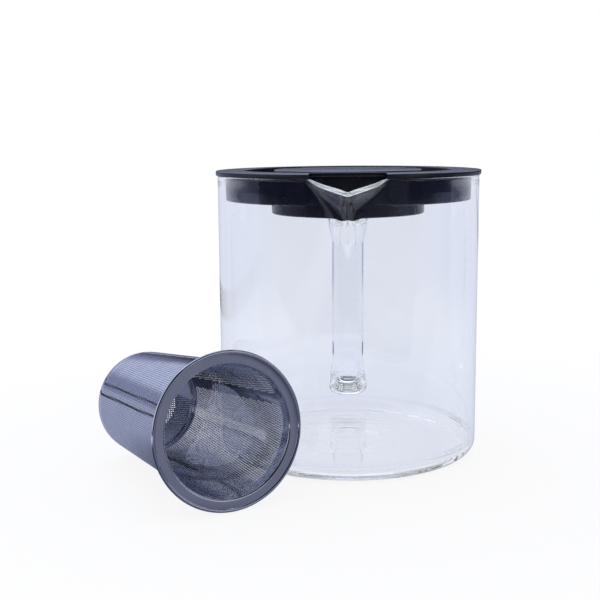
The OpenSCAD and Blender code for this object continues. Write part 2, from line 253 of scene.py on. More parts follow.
# mesh object from closed shells in mm; a shell that is inside out is turned
def shellObject(name, shells):
    points, loops, sizes, start = [], [], [], 0
    for shellPoints, faces in shells:
        flip = -1 if shellVolume(shellPoints, faces) < 0 else 1
        loops += [(f[:, ::flip] + start).ravel() for f in faces]
        sizes += [np.full(len(f), f.shape[1]) for f in faces]
        points.append(shellPoints)
        start += len(shellPoints)
    points, loops, sizes = np.concatenate(points), np.concatenate(loops), np.concatenate(sizes)
    mesh = bpy.data.meshes.new(name)
    mesh.vertices.add(len(points))
    mesh.vertices.foreach_set("co", (points * mm).ravel())
    mesh.loops.add(len(loops))
    mesh.loops.foreach_set("vertex_index", loops.astype(np.int32))
    mesh.polygons.add(len(sizes))
    mesh.polygons.foreach_set("loop_start", np.concatenate([[0], np.cumsum(sizes)[:-1]]).astype(np.int32))
    mesh.update(calc_edges=True)
    if mesh.validate():
        print("  mesh of", name, "was corrected")
    made = bpy.data.objects.new(name, mesh)
    bpy.context.scene.collection.objects.link(made)
    return made


# smooths a made object up to the crease angle, gives it its material and sets it on its body
def finishPiece(piece, material, body, nodes, crease=38):
    mesh = piece.data
    mesh.polygons.foreach_set("use_smooth", np.ones(len(mesh.polygons), bool))
    mesh.set_sharp_from_angle(angle=math.radians(crease))
    mesh.materials.clear()
    mesh.materials.append(material)
    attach(piece, body)
    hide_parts(*nodes)
    mesh.calc_loop_triangles()
    print("  piece", piece.name, len(mesh.loop_triangles), "triangles")


# the jug: one closed skin, profile from the middle of its underside over the rim to the middle of its inside
jug = dict(wall=2.0, base=3.0, corner=6.0, heel=7.5, dome=0.5, domeMargin=4.0,
           bead=0.45, beadDrop=3.2, rimSquare=3.2, gobRadius=21.0, gobHeight=0.22, gobWidth=2.6,
           dip=0.6, dipWidth=9.0, spoutWidth=34.0, spoutReach=11.0, spoutDip=5.0, spoutRidge=20.0,
           patch=28.0, flare=1.8, softness=0.08, foldRadius=0.7, foldThin=0.5, foldWidth=2.0,
           lipBead=0.4, lipDrop=9.0, fineAngle=26, fineGather=1.7)
jugRadius, jugHeight = highCorner("glass_body")[[0, 2]]
jugInside = jugRadius - jug["wall"]


# s where it is positive, 0 where it is negative, with a hyperbola between
def soft(s):
    return (s + np.sqrt(s * s + jug["softness"] ** 2)) / 2


# distance from the spout's fold at angle a; the back half counts as the jug's side
def foldDistance(a):
    return jugRadius * np.sin(np.clip(a, -np.pi / 2, np.pi / 2))


# middle of the wall's thickness at height z and angle a: the spout leans out by
# reach * side * (rise / side) ^ flare, where side falls evenly from the fold and rise also downward
def wallMiddle(z, a):
    x = foldDistance(a)
    fold = np.sqrt(x * x + jug["foldRadius"] ** 2) - jug["foldRadius"]
    foot = jugHeight - jug["patch"]
    up = np.clip((z - foot) / jug["patch"], 0, 1)
    side = 1 - 2 * fold / jug["spoutWidth"]
    rise = soft(side - (1 - up) * jug["patch"] / jug["spoutRidge"])
    lean = soft(side) * (rise / soft(side)) ** jug["flare"]
    lip = jugHeight - jug["spoutDip"] * soft(side)
    radius = jugRadius - jug["wall"] / 2 + jug["spoutReach"] * lean
    return turned(radius, np.where(z > foot, foot + up * (lip - foot), z), a)


# pulls the wall out to the spout; both faces keep their distance from its middle, square to it
def pullSpout(r, z, a):
    middle = wallMiddle(z, a)
    # short steps round the wall and down it give its normal
    ahead, down = wallMiddle(z, a + 0.0001) - middle, middle - wallMiddle(z - 0.02, a)
    normal = np.cross(ahead, down)
    normal /= np.linalg.norm(normal, axis=-1, keepdims=True)
    # on the spout the rim's bead gives way to a lip that thickens slowly, thinner inside the fold
    x = foldDistance(a)
    side = np.clip(1 - 2 * np.abs(x) / jug["spoutWidth"], 0, 1)
    drop = jugHeight - z
    bead = 2 * jug["bead"] / jug["wall"] * np.exp(-(drop / jug["beadDrop"]) ** 2) * np.minimum(3 * side, 1)
    lip = 1 + jug["lipBead"] * side * np.exp(-(drop / jug["lipDrop"]) ** 2)
    offset = r - jugRadius + jug["wall"] / 2
    inside = (1 - jug["foldThin"] * np.exp(-(x / jug["foldWidth"]) ** 2)) / (1 + bead)
    pulled = middle + (offset * lip * np.where(offset > 0, 1, inside))[..., None] * normal
    return np.where((z > jugHeight - jug["patch"])[..., None], pulled, turned(r, z, a))


def makeJug():
    rimR = jug["wall"] / 2
    flat = np.linspace(0, 1, 18)[:, None] * [jugRadius - jug["corner"], 0]
    domeRadius = jugRadius - jug["corner"] - jug["domeMargin"]
    flat[:, 1] = jug["dome"] * np.clip(1 - (flat[:, 0] / domeRadius) ** 2, 0, 1) ** 2
    corner = arc(jugRadius - jug["corner"], jug["corner"], jug["corner"], -90, 0, 14)
    levels = np.concatenate([np.linspace(jug["corner"], jugHeight - jug["patch"], 10),
                             np.linspace(jugHeight - jug["patch"], jugHeight - rimR, 56)[1:]])
    outside = np.stack([np.full_like(levels, jugRadius), levels], 1)
    swell = jug["bead"] * np.exp(-((jugHeight - levels) / jug["beadDrop"]) ** 2)
    inside = np.stack([jugInside - swell, levels], 1)[::-1]
    rimMid, rimHalf = (inside[0, 0] + jugRadius) / 2, (jugRadius - inside[0, 0]) / 2
    rim = arc(0, 0, 1, 0, 180, 22)
    rim = np.sign(rim) * np.abs(rim) ** (2 / jug["rimSquare"]) * [rimHalf, rimR] + [rimMid, jugHeight - rimR]
    innerR = jug["heel"]
    innerCorner = arc(jugInside - innerR, jug["base"] + innerR, innerR, 0, -90, 14)
    r = np.linspace(jugInside - innerR, 0, 48)
    # a faint ring and a dip that the gob's mould left inside
    ring, dip = np.exp(-((r - jug["gobRadius"]) / jug["gobWidth"]) ** 2), np.exp(-(r / jug["dipWidth"]) ** 2)
    floor = np.stack([r, jug["base"] + jug["gobHeight"] * (ring - jug["dip"] * dip)], 1)
    profile = np.concatenate([flat, corner[1:], outside[1:], rim[1:], inside[1:], innerCorner[1:], floor[1:]])
    # columns gather at the fold and are even round the rest
    even, fine = np.linspace(-1, 1, 121), jug["fineAngle"]
    close = fine * np.sign(even) * np.abs(even) ** jug["fineGather"]
    far = np.linspace(fine, 360 - fine, 207)[1:-1]
    a = np.radians(np.concatenate([close, far]))
    a = np.where(a > np.pi, a - 2 * np.pi, a)[None]
    return shellObject("jug_glass", [poleShell(pullSpout(profile[:, :1], profile[:, 1:], a))])


# the handle: a flat oval carried along a D, its flared roots sunk into the wall's curve
handle = dict(width=18.5, thick=9.5, bend=19.5, flare=3.0, square=2.5, sink=0.3, top=109.0, low=15.0,
              rootRings=(0, 0.35, 0.7, 0.93), armSteps=22)
handleEnd = highCorner("glass_handle")[1]


def makeHandle():
    gripY = handleEnd - handle["thick"] / 2
    bendY = gripY - handle["bend"]
    a = np.linspace(0, 2 * np.pi, 65)[:-1]
    power = 2 / handle["square"]
    across = np.sign(np.cos(a)) * np.abs(np.cos(a)) ** power
    over = np.sign(np.sin(a)) * np.abs(np.sin(a)) ** power
    topZ, lowZ = handle["top"], handle["low"]

    # one arm from its root's middle to the bend: rings that grow on the wall, then sections along the arm
    def armRows(z, side):
        rings, steps = handle["rootRings"], handle["armSteps"]
        shrink = np.concatenate([rings, np.ones(steps)])[:, None]
        along = np.concatenate([np.zeros(len(rings)), np.linspace(0, 1, steps) ** 2])[:, None]
        length = bendY - jugRadius + handle["sink"]
        near = np.clip(1 - along * length / handle["flare"], 0, 1)
        grow = handle["flare"] * (1 - np.sqrt(1 - near * near))
        x = shrink * (handle["width"] / 2 + grow) * across
        t = shrink * (handle["thick"] / 2 + grow) * over
        wallY = np.sqrt((jugRadius - handle["sink"]) ** 2 - x * x)
        return np.stack([x, wallY + along * (bendY - wallY), z + side * t], -1)

    # sections round a bend of 90 degrees, from angle start about (bendY, z)
    def bendRows(z, start):
        turn = np.radians(start - np.linspace(0, 90, 26)[1:-1])[:, None]
        reach = handle["bend"] + handle["thick"] / 2 * over
        return np.stack(np.broadcast_arrays(
            handle["width"] / 2 * across, bendY + reach * np.cos(turn), z + reach * np.sin(turn)), -1)

    gripZ = np.linspace(topZ - handle["bend"], lowZ + handle["bend"], 8)[:, None]
    gripX, gripDepth = handle["width"] / 2 * across, gripY + handle["thick"] / 2 * over
    grip = np.stack(np.broadcast_arrays(gripX, gripDepth, gripZ), -1)
    rows = np.concatenate([armRows(topZ, 1), bendRows(topZ - handle["bend"], 90), grip,
                           bendRows(lowZ + handle["bend"], 0), armRows(lowZ, -1)[::-1]])
    return shellObject("handle_glass", [poleShell(rows)])


# melts the handle onto the jug: one skin, so light passes from one into the other as in the real glass
def fuseGlass(body, added):
    join = body.modifiers.new("fuse", "BOOLEAN")
    join.operation, join.solver, join.object = "UNION", "EXACT", added
    melted = bpy.data.meshes.new_from_object(body.evaluated_get(bpy.context.evaluated_depsgraph_get()))
    body.modifiers.clear()
    body.data = melted
    bpy.data.objects.remove(added)
    finishPiece(body, glass, "jug", ["glass_body", "glass_handle"], 60)


fuseGlass(makeJug(), makeHandle())
print("glass made")

# the lid: closed mouldings that meet inside each other, all about the jug's axis
lid = dict(flange=2.4, flangeEdge=2.15, flangeFall=3.0, wall=1.8, edge=0.35, skirt=58.7, skirtDrop=11.6,
           well=49.7, wellDepth=6.0, bore=34.45, collar=36.75, collarDrop=18.4, ledge=31.05,
           notch=33.4, pocket=36.4, pocketY=45.0, pocketLip=2.0,
           tongueAngle=61.0, tongue=15.0, tongueHeight=7.2, slit=1.0, pad=0.9, lap=0.5)
flangeRadius, lidTop = highCorner("lid_moulding")[[0, 2]]
rimLevel = lidTop - lid["flange"]


# closed outline carried from one edge of the notch round to the other, with ends parallel to the Y axis
def notchedRing(outline, halfNotch, count):
    edge = np.arcsin(np.clip(halfNotch / outline[:, 0], -1, 1))
    share = np.linspace(0, 1, count)[:, None]
    return loftShell(turned(outline[:, 0], outline[:, 1], edge + share * (2 * np.pi - 2 * edge)), False)


# closed outline carried between two angles in degrees, or all round
def ringPart(outline, startAngle, endAngle, count):
    a = np.radians(np.linspace(startAngle, endAngle, count))[:, None]
    if endAngle - startAngle == 360:
        return loftShell(turned(outline[:, 0], outline[:, 1], a[:-1]), True)
    return loftShell(turned(outline[:, 0], outline[:, 1], a), False)


# box with rounded edges: a rounded outline in (y, z) carried along x, drawn in at both ends
def roundedBar(low, high, radius):
    a = np.radians(np.linspace(0, 90, 5))
    draw = np.concatenate([1 - np.sin(a), 1 - np.sin(a)[::-1]]) * radius
    x = np.concatenate([low[0] + radius - radius * np.cos(a), high[0] - radius + radius * np.cos(a)[::-1]])
    corners = [(low[1], low[2]), (high[1], low[2]), (high[1], high[2]), (low[1], high[2])]
    outline = roundedOutline(corners, radius)
    centre = (np.array(low[1:]) + np.array(high[1:])) / 2
    reach = (np.array(high[1:]) - np.array(low[1:])) / 2
    scale = 1 - draw[:, None] / reach[None]
    yz = centre + (outline - centre)[None] * scale[:, None]
    return loftShell(np.concatenate([np.broadcast_to(x[:, None, None], yz.shape[:2] + (1,)), yz], -1), False)


def makeLid():
    wall, edge = lid["wall"], lid["edge"]
    skirtLow, wellFloor = rimLevel - lid["skirtDrop"], lidTop - lid["wellDepth"]
    collarLow = rimLevel - lid["collarDrop"]
    skirtIn, wellOut = lid["skirt"] - wall, lid["well"] + wall
    shells = []
    flange = roundedOutline(
        [(lid["well"], rimLevel), (flangeRadius, rimLevel), (flangeRadius, rimLevel + lid["flangeEdge"]),
         (wellOut, lidTop), (lid["well"], lidTop)], [edge, edge, edge, lid["flangeFall"], 0.6], 8)
    shells.append(notchedRing(flange, lid["notch"] / 2, 340))
    # skirt: a band under the flange, and below it the wall parted by the tongues' slits
    slitTop = skirtLow + lid["tongueHeight"]
    bandLow, bandTop = slitTop - 0.02, rimLevel + lid["lap"]
    band = roundedOutline(
        [(skirtIn, bandLow), (lid["skirt"], bandLow), (lid["skirt"], bandTop), (skirtIn, bandTop)], 0.01, 2)
    shells.append(notchedRing(band, lid["pocket"] / 2, 260))
    low = roundedOutline(
        [(skirtIn, skirtLow), (lid["skirt"], skirtLow), (lid["skirt"], slitTop), (skirtIn, slitTop)],
        [wall * 0.4, wall * 0.4, 0.01, 0.01])
    halfTongue = math.degrees(lid["tongue"] / 2 / lid["skirt"])
    halfSlit = math.degrees((lid["tongue"] / 2 + lid["slit"]) / lid["skirt"])
    notchEdge = math.degrees(math.asin(lid["pocket"] / 2 / lid["skirt"]))
    middles = [lid["tongueAngle"], 180, 360 - lid["tongueAngle"]]
    starts = [notchEdge] + [m + halfSlit for m in middles]
    ends = [m - halfSlit for m in middles] + [360 - notchEdge]
    shells += [ringPart(low, s, e, 60) for s, e in zip(starts, ends)]
    shells += [ringPart(low, m - halfTongue, m + halfTongue, 24) for m in middles]
    padIn, padOut = lid["skirt"] - lid["lap"], lid["skirt"] + lid["pad"]
    padLow, padTop = skirtLow + wall, slitTop - wall
    pad = roundedOutline(
        [(padIn, padLow), (padOut, padLow), (padOut, padTop), (padIn, padTop)], [0.05, 0.5, 0.5, 0.05])
    padHalf = math.degrees((lid["tongue"] / 2 - wall) / lid["skirt"])
    shells += [ringPart(pad, m - padHalf, m + padHalf, 18) for m in middles]
    # finger well: floor and wall, flattened in front by the pocket's back wall
    wellTop = lidTop - 0.3
    well = roundedOutline(
        [(lid["bore"], wellFloor - wall), (wellOut, wellFloor - wall), (wellOut, wellTop),
         (lid["well"], wellTop), (lid["well"], wellFloor), (lid["bore"], wellFloor)],
        [0.3, 0.6, 0.2, 0.2, 0.9, 0.3])
    a = np.radians(np.linspace(0, 360, 361)[:-1])[:, None]
    front = np.maximum(np.cos(a), 0.01)
    wellAt = np.minimum(lid["well"], (lid["pocketY"] - wall + 0.1) / front)
    r = np.where(well[:, 0] > lid["well"] - 2, well[:, 0] - lid["well"] + wellAt, well[:, 0])
    shells.append(loftShell(turned(r, well[:, 1], a), True))
    collarTop, ledgeTop = wellFloor - lid["lap"], collarLow + wall
    collar = roundedOutline(
        [(lid["ledge"], collarLow), (lid["collar"], collarLow), (lid["collar"], collarTop),
         (lid["bore"], collarTop), (lid["bore"], ledgeTop), (lid["ledge"], ledgeTop)],
        [0.5, 0.8, 0.1, 0.1, 0.4, 0.5])
    shells.append(ringPart(collar, 0, 360, 241))
    # pouring pocket: back wall, lip over it and two sides that reach the skirt
    backHalf, lipHalf, y = lid["pocket"] / 2 + wall, lid["notch"] / 2 + 0.4, lid["pocketY"]
    sideY, lipY = math.sqrt(lid["skirt"] ** 2 - backHalf ** 2) + 0.1, y + lid["pocketLip"]
    shells.append(roundedBar((-backHalf, -y, skirtLow), (backHalf, wall - y, lidTop - 0.2), edge))
    shells.append(roundedBar((-lipHalf, -lipY, lidTop - wall), (lipHalf, wall - y, lidTop), 0.6))
    for side in (-1, 1):
        x = sorted([side * lid["pocket"] / 2, side * backHalf])
        shells.append(roundedBar((x[0], -sideY, skirtLow), (x[1], wall - y, rimLevel + 0.4), edge))
    finishPiece(shellObject("lid_black", shells), plastic, "lid", ["lid_moulding"])


# the cap: a disc with a rounded rim and a hollow plug
cap = dict(seat=35.6, plug=34.05, plugDrop=7.0, groove=0.8, ring=2.6, top=1.8, round=0.7)


def makeCap():
    wellFloor = lidTop - lid["wellDepth"]
    plugLow = wellFloor - cap["plugDrop"]
    grooveLow = plugLow + (cap["plugDrop"] - cap["ring"]) / 2
    inner, deep = cap["plug"] - cap["groove"] - lid["wall"], cap["plug"] - cap["groove"]
    grooveTop, under = grooveLow + cap["ring"], lidTop - cap["top"]
    corners = [(0.02, lidTop), (cap["seat"], lidTop), (cap["seat"], wellFloor), (cap["plug"], wellFloor),
               (cap["plug"], grooveTop), (deep, grooveTop), (deep, grooveLow), (cap["plug"], grooveLow),
               (cap["plug"], plugLow), (inner, plugLow), (inner, under), (0.02, under)]
    radii = [0.005, cap["round"], 0.3, 0.1, 0.15, 0.1, 0.1, 0.15, 0.6, 0.4, 1.0, 0.005]
    # the first and last corner give way to the poles on the axis
    outline = np.concatenate([[(0, lidTop)], roundedOutline(corners, radii)[6:-6], [(0, under)]])
    a = np.radians(np.linspace(0, 360, 241)[:-1])[None]
    rows = turned(outline[:, :1], outline[:, 1:], a)
    finishPiece(shellObject("cap_black", [poleShell(rows)]), plastic, "cap", ["lid_cap"])


makeLid()
makeCap()
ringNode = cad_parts["cap_ring"]
ringNode.data.materials.clear()
ringNode.data.materials.append(silicone)
print("lid made")

# the basket stands upright in its own coordinates, base at 0, and is then laid down where the CAD has it
basket = dict(length=98.0, top=28.9, base=24.5, rim=33.5, sheet=0.5, mesh=0.15, bead=0.8, bend=0.9, fillet=0.55,
              sunk=0.4, neck=6.0, cup=4.0, cupCorner=1.6, pitch=0.975, rowPitch=0.95, hole=0.52, firstRow=6.2,
              lastRow=95.0, split=50.5, seamAt=108.0, seamWidth=4.7, discHoles=15.6, discEdge=17.0, discLap=1.2,
              discInset=0.04)
lying = dict(yaw=-58.7, tilt=5.373, foot=(-98.975, -12.113, 24.250))


# outer radius of the tapered wall at height z
def wallRadius(z):
    return basket["base"] + (basket["top"] - basket["base"]) * z / basket["length"]


# lays upright points down: turned about Y to the axis, then about Z, then moved to the base's middle
def layDown(points):
    tip, yaw = math.radians(90 - lying["tilt"]), math.radians(lying["yaw"])
    aboutY = np.array([[math.cos(tip), 0, math.sin(tip)], [0, 1, 0], [-math.sin(tip), 0, math.cos(tip)]])
    aboutZ = np.array([[math.cos(yaw), -math.sin(yaw), 0], [math.sin(yaw), math.cos(yaw), 0], [0, 0, 1]])
    return points @ (aboutZ @ aboutY).T + np.array(lying["foot"])


# steel piece from upright shells; its upright place in mm is kept on the mesh for the finish
def steelPiece(name, shells, nodes):
    upright = np.concatenate([points for points, faces in shells])
    piece = shellObject(name, [(layDown(points), faces) for points, faces in shells])
    place = piece.data.attributes.new("basketPlace", "FLOAT_VECTOR", "POINT")
    place.data.foreach_set("vector", upright.ravel())
    finishPiece(piece, steel, "basket", nodes)


# flange, rolled bead and neck in one outline, all round
def makeBasketRim():
    length, sheet, bead, bend = basket["length"], basket["sheet"], basket["bead"], basket["bend"]
    neckLow = length - basket["neck"]
    low, high = wallRadius(neckLow) - sheet, basket["top"] - sheet
    # the flange lies a little below the top of its rolled edge
    face = length - basket["sunk"]
    inner = [(low - sheet, neckLow), (high - sheet, face - bend)]
    top = arc(high - sheet + bend, face - bend, bend, 180, 90, 8)
    rollStart = 180 - math.degrees(math.asin(1 - basket["sunk"] / bead))
    roll = arc(basket["rim"] - bead, length - bead, bead, rollStart, -170, 30)
    under = [(basket["rim"] - 2 * bead - 0.1, face - sheet), (high + basket["fillet"], face - sheet)]
    outer = [(high, face - sheet - basket["fillet"]), (low, neckLow)]
    outline = np.concatenate([inner[:1], top, roll, under, outer])
    steelPiece("basket_flange", [ringPart(outline, 0, 360, 241)], ["basket_rim"])


# faces of a two-skinned sheet on a grid: cells marked as holes get walls between the skins instead of faces
def sheetFaces(cells, isHole, skin):
    solid, hole = cells[~isHole], cells[isHole]
    faces = [solid, solid[:, ::-1] + skin]
    for k in range(4):
        a, b = hole[:, k], hole[:, (k + 1) % 4]
        faces.append(np.stack([a, b, b + skin, a + skin], 1))
    return faces


# quads with a doubled corner become triangles, and those with fewer than three corners go
def weldFaces(faces):
    kept = []
    for f in faces:
        same = f == np.roll(f, -1, 1)
        kept.append(f[~same.any(1)])
        if f.shape[1] == 4:
            once = same.sum(1) == 1
            order = (np.argmax(same[once], 1)[:, None] + np.arange(1, 4)) % 4
            kept.append(np.take_along_axis(f[once], order, 1))
    return [f for f in kept if len(f)]


# points that the faces use, and the faces renumbered to them
def usedOnly(points, faces):
    used = np.unique(np.concatenate([f.ravel() for f in faces]))
    number = np.zeros(len(points), int)
    number[used] = np.arange(len(used))
    return points[used], [number[f] for f in faces]


# the wall as rolled from flat sheet: columns of holes are straight and parallel in the flat, so near the
# seam they run into its plain strip at a slant and end in steps
def makeBasketWall(name, zLow, zHigh, nodes):
    pitch, rowPitch, hole = basket["pitch"], basket["rowPitch"], basket["hole"]
    taper = math.atan((basket["top"] - basket["base"]) / basket["length"])
    rowCount = int((basket["lastRow"] - basket["firstRow"]) / rowPitch)
    starts = basket["firstRow"] + rowPitch * np.arange(rowCount)
    starts = starts[(starts > zLow) & (starts + hole < zHigh)]
    z = np.concatenate([[zLow], np.stack([starts, starts + hole], 1).ravel(), [zHigh]])
    radius = wallRadius(z)[:, None]
    slant = radius / math.sin(taper)
    limit = np.pi - basket["seamWidth"] / 2 / radius
    reach = int(slant.max() * math.sin(np.pi * math.sin(taper)) / pitch) + 1
    columns = pitch * np.arange(-reach, reach + 1)
    u = np.stack([columns - hole / 2, columns + hole / 2], 1).ravel()[None]
    angle = np.arcsin(u / slant) / math.sin(taper)
    free = np.abs(angle) < limit
    strip = limit + (2 * np.pi - 2 * limit) * np.linspace(0, 1, 8)[1:-1][None]
    angle = np.concatenate([np.clip(angle, -limit, limit), strip], 1)
    count, width = angle.shape
    # held columns share the strip's edge
    held = np.arange(u.shape[1])[None]
    first, last = free.argmax(1)[:, None] - 1, u.shape[1] - free[:, ::-1].argmax(1)[:, None]
    shared = np.concatenate([
        np.clip(held, np.maximum(first, 0), np.minimum(last, u.shape[1] - 1)),
        np.broadcast_to(np.arange(u.shape[1], width), (count, width - u.shape[1]))], 1)
    index = np.arange(count)[:, None] * width + shared
    right = np.roll(index, -1, 1)
    cells = np.stack([index[:-1], right[:-1], right[1:], index[1:]], -1).reshape(-1, 4)
    loose = np.concatenate([free, np.zeros((count, width - u.shape[1]), bool)], 1)
    inside = loose & np.roll(loose, -1, 1)
    holeRow = (np.arange(count - 1) % 2 == 1) & (np.arange(count - 1) < count - 2)
    holeColumn = np.arange(width) % 2 == 0
    isHole = (inside[:-1] & inside[1:] & holeRow[:, None] & holeColumn[None]).ravel()
    around = angle + math.radians(basket["seamAt"]) + np.pi
    skins = [np.stack([r * np.cos(around), r * np.sin(around), np.broadcast_to(z[:, None], around.shape)], -1)
             for r in (radius, radius - basket["mesh"])]
    points = np.concatenate([s.reshape(-1, 3) for s in skins])
    skin = count * width
    faces = sheetFaces(cells, isHole, skin)
    faces.append(np.stack([right[0], index[0], index[0] + skin, right[0] + skin], 1))
    faces.append(np.stack([index[-1], right[-1], right[-1] + skin, index[-1] + skin], 1))
    steelPiece(name, [usedOnly(points, weldFaces(faces))], nodes)


# pressed cup with a plain margin, and a sheet with square rows of holes in its middle
def makeBasketBase():
    sheet, corner, r = basket["sheet"], basket["cupCorner"], basket["base"]
    cupTop = wallRadius(basket["cup"])
    margin = basket["discEdge"] - basket["discLap"]
    outline = np.concatenate([
        [(margin, 0)], arc(r - corner, corner, corner, -90, 0, 9),
        [(cupTop, basket["cup"]), (cupTop - sheet, basket["cup"])],
        arc(r - corner, corner, corner - sheet, 0, -90, 9), [(margin, sheet)]])
    cup = ringPart(outline, 0, 360, 181)
    pitch, hole, inset = basket["pitch"], basket["hole"], basket["discInset"]
    reach = int(basket["discEdge"] / pitch) + 1
    lines = (pitch * np.arange(-reach, reach + 1)[:, None] + [[-hole / 2, hole / 2]]).ravel()
    x, y = np.meshgrid(lines, lines, indexing="ij")
    index = np.arange(x.size).reshape(x.shape)
    cells = np.stack([index[:-1, :-1], index[1:, :-1], index[1:, 1:], index[:-1, 1:]], -1).reshape(-1, 4)
    mid = np.hypot(x[:-1, :-1] + x[1:, 1:], y[:-1, :-1] + y[1:, 1:]).ravel() / 2
    even = np.arange(len(lines) - 1) % 2 == 0
    isHole = (even[:, None] & even[None]).ravel() & (mid < basket["discHoles"])
    within = mid < basket["discEdge"]
    cells, isHole = cells[within], isHole[within]
    skin = x.size
    faces = sheetFaces(cells, isHole, skin)
    # wall round the sheet's edge: sides of cells that no other cell shares
    sides = np.concatenate([cells[:, [k, (k + 1) % 4]] for k in range(4)])
    key = np.sort(sides, 1) @ [skin, 1]
    where, times = np.unique(key, return_index=True, return_counts=True)[1:]
    rim = sides[where[times == 1]]
    faces.append(np.stack([rim[:, 1], rim[:, 0], rim[:, 0] + skin, rim[:, 1] + skin], 1))
    levels = (inset, sheet - inset)
    points = np.concatenate([np.stack([x, y, np.full_like(x, z)], -1).reshape(-1, 3) for z in levels])
    disc = usedOnly(points, [f[:, ::-1] for f in faces])
    steelPiece("basket_cup", [cup, disc], ["basket_base"])


makeBasketRim()
makeBasketWall("basket_sheet_low", basket["cup"], basket["split"], ["basket_wall"])
makeBasketWall("basket_sheet_high", basket["split"], basket["length"] - basket["sheet"], ["basket_wall"])
makeBasketBase()
print("basket made")

# camera: a short telephoto in front of the spout, a little above the rim
camera = dict(back=505.0, height=153.2138, pitch=0.1581, yaw=0.0465, roll=-0.0078, lens=62.46)


def makeCamera():
    data = bpy.data.cameras.new("camera")
    data.sensor_width, data.lens, data.sensor_fit = 36.0, camera["lens"], "HORIZONTAL"
    data.clip_start, data.clip_end = 0.01, 50
    eye = bpy.data.objects.new("camera", data)
    bpy.context.scene.collection.objects.link(eye)
    cp, sp = math.cos(camera["pitch"]), math.sin(camera["pitch"])
    cy, sy = math.cos(camera["yaw"]), math.sin(camera["yaw"])
    cr, sr = math.cos(camera["roll"]), math.sin(camera["roll"])
    right, ahead = np.array([cy, sy, 0]), np.array([-sy * cp, cy * cp, -sp])
    up = np.cross(right, ahead)
    axes = Matrix(np.stack([right * cr + up * sr, up * cr - right * sr, -ahead], 1).tolist()).to_4x4()
    axes.translation = (0, -camera["back"] * mm, camera["height"] * mm)
    eye.matrix_world = axes
    bpy.context.scene.camera = eye


# studio: white paper and backdrop with a soft light above; gloss and glass show the colours of a half-lit room
studioTone = dict(white="#FFFFFF", above="#CFD7F6", dusk="#262936", left="#9298BA", front="#40455C",
                  right="#868AA0", leftWall="#E2E6F4", plain="#E4E7F0", side="#98A3CE", line="#0C0E16",
                  depths="#23252F", floor="#AEB5D2", nearFloor="#787C90", clear="#F4F6FC", shade="#2B3350",
                  clearFloor="#EEF1FA")

# a layer is a colour and its spans: a coordinate, where the colour starts and where it is full, and the shares
# there if they are not 0 and 1; a mix starts from a colour and takes its layers in order
sideWalls = [("aside", 0.5, 0.8), ("back", -0.3, 0.0), ("back", 0.35, 0.65, 1.0, 0.25)]
mirrored = ("reflections", 0, 1)  # light that was reflected on its way
# straight through the four faces of the jug's two walls
straight = [("passes", 3, 4), ("passes", 4, 5, 1, 0), ("reflections", 0, 1, 1, 0)]
led = [("reflections", 5, 6)]  # led along inside the glass, bright where it leaves at edges and roots


# share of a layer: the product of its spans, each eased at both ends
def layerShare(tree, coords, spans):
    share = 1.0
    for name, start, full, *ends in spans:
        low, high = ends or (0.0, 1.0)
        ease = addNode(tree, "ShaderNodeMapRange", {
            0: coords[name], 1: start, 2: full, 3: low, 4: high}, interpolation_type="SMOOTHSTEP")
        share = addNode(tree, "ShaderNodeMath", {0: share, 1: ease.outputs[0]}, operation="MULTIPLY").outputs[0]
    return share


# all mixes of a table in order; a later mix may use an earlier one as a colour
def mixLayers(tree, coords, mixes):
    colours = {name: linear(colour) for name, colour in studioTone.items()}
    for name, (first, *layers) in mixes.items():
        mix = colours[first]
        for colour, spans in layers:
            mix = addNode(tree, "ShaderNodeMix", {
                0: layerShare(tree, coords, spans), 6: mix, 7: colours[colour]}, data_type="RGBA").outputs[2]
        colours[name] = mix
    return colours


# what the spans read: a vector, how far it lies aside and to the back, and what the light has met on its way;
# straight through the glass the front counts as the back, so that the jug is clear from behind too
def layerCoords(tree, vector):
    x, y, z = addNode(tree, "ShaderNodeSeparateXYZ", {0: vector}).outputs
    ray = addNode(tree, "ShaderNodeLightPath", {}).outputs
    aside, either = [addNode(tree, "ShaderNodeMath", {0: v}, operation="ABSOLUTE").outputs[0] for v in (x, y)]
    coords = dict(x=x, y=y, z=z, aside=aside, reflections=ray["Glossy Depth"], passes=ray["Transmission Depth"],
                  camera=ray["Is Camera Ray"], bent=ray["Is Transmission Ray"], scattered=ray["Is Diffuse Ray"])
    coords["back"] = addNode(tree, "ShaderNodeMix", {
        0: layerShare(tree, coords, [mirrored]), 2: either, 3: y}).outputs[0]
    return coords


# backdrop, by direction: gloss shows a pale sky behind over a dusk at the horizon, and a dim room in front
# with a soft box far to the right; the dim front reaches higher for light that the rim's bead throws back
backdrop = dict(
    room=["depths", ("right", [("x", 0.3, 0.8)]), ("leftWall", [("x", -0.8, -0.5, 1, 0)])],
    behind=["left", ("dusk", [("x", -0.34, -0.15)])],
    gloss=["room", ("behind", [("y", 0.0, 0.35)]),
           ("above", [("z", 0.12, 0.18), ("z", 0.6, 0.8, 1, 0), ("y", 0.1, 0.5)]),
           ("line", [("z", 0.028, 0.036), ("z", 0.048, 0.056, 1, 0), ("x", -0.5, -0.4, 1, 0)]),
           ("white", [("softBox", 0.972, 0.994)])],
    through=["shade", ("clear", [("back", -0.5, 0.7)]), ("side", sideWalls), ("clear", [("z", 0.04, 0.2)]),
             ("shade", [("y", 0.1, 0.4, 1, 0), ("z", 0.3, 0.45, 1, 0), mirrored]),
             ("clear", straight), ("white", led)],
    seen=["gloss", ("through", [("bent", 0, 1)]), ("plain", [("scattered", 0, 1)]),
          ("white", [("camera", 0, 1)])])
softBoxAt = (0.84, -0.54, 0.03)


